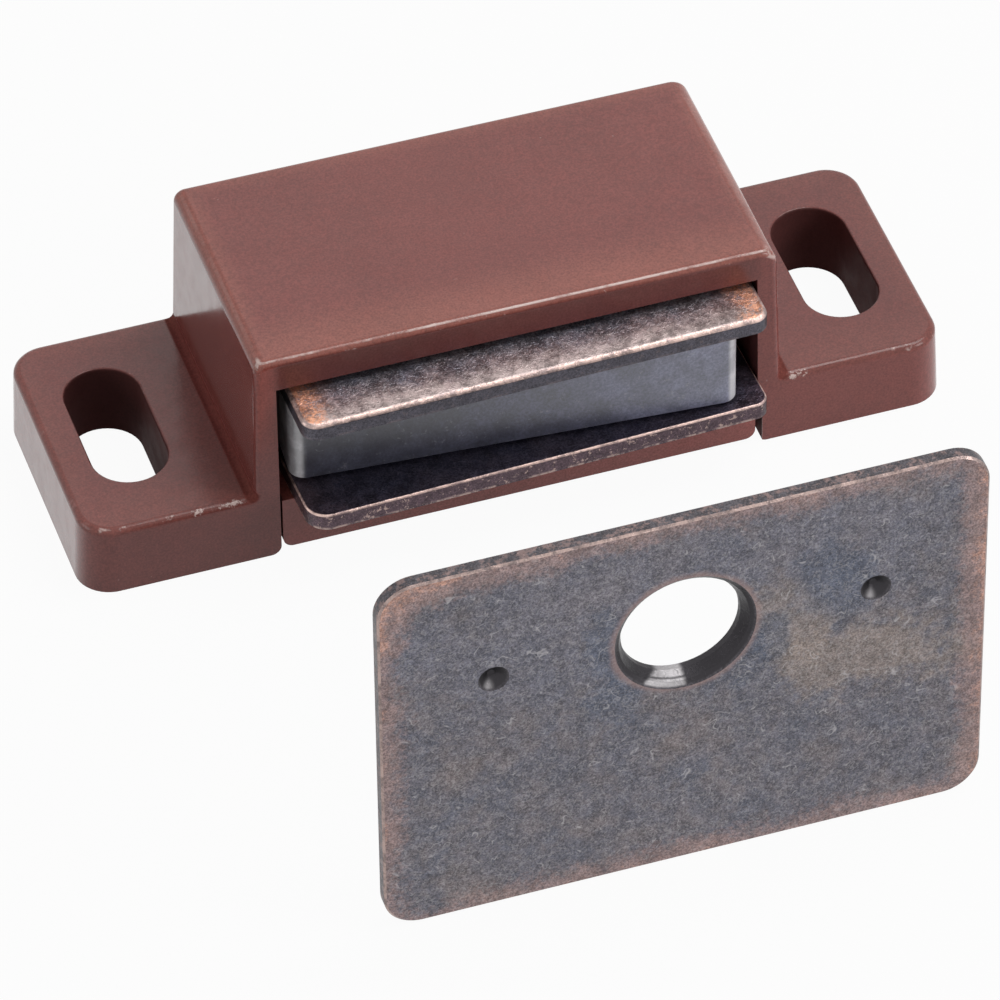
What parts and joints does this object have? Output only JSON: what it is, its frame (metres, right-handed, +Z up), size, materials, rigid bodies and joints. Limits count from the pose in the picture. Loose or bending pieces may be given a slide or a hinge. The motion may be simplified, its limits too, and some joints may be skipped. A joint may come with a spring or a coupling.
{
  "type": "magnetic catch",
  "caption": "Magnetic cupboard catch: slotted moulded housing with a swivelling magnet between steel pole plates, and a countersunk strike plate for the door.",
  "frame": {"origin": "midway between the two screw slots, on the housing's mounting face", "axes": "+X along the ears, -Y the way the pole ends face and the strike comes from, +Z up off the mounting face"},
  "size_m": [0.0504, 0.0453, 0.0245],
  "materials": {
    "brown_moulding": "fine satin, reddish brown",
    "copper_finish_steel": "antique copper plate, dark and mottled with bright copper edges",
    "ferrite": "dark grey, satin, fine grained"
  },
  "bodies": {
    "housing": {"housing": "brown_moulding", "bottom_cover": "brown_moulding"},
    "magnet_pack": {"upper_pole_plate": "copper_finish_steel", "lower_pole_plate": "copper_finish_steel", "magnet": "ferrite"},
    "strike": {"strike_plate": "copper_finish_steel"}
  },
  "joints": [
    {"name": "pack_swivel", "type": "hinge", "parent": "housing", "child": "magnet_pack", "pos_m": [0.00016, -0.00351, 0.0078], "axis": [0, 0, 1], "range_deg": [-3, 0.7]},
    {"name": "door_travel", "type": "slide", "parent": "housing", "child": "strike", "axis": [0, 1, 0], "range_m": [0, 0.0243]}
  ]
}
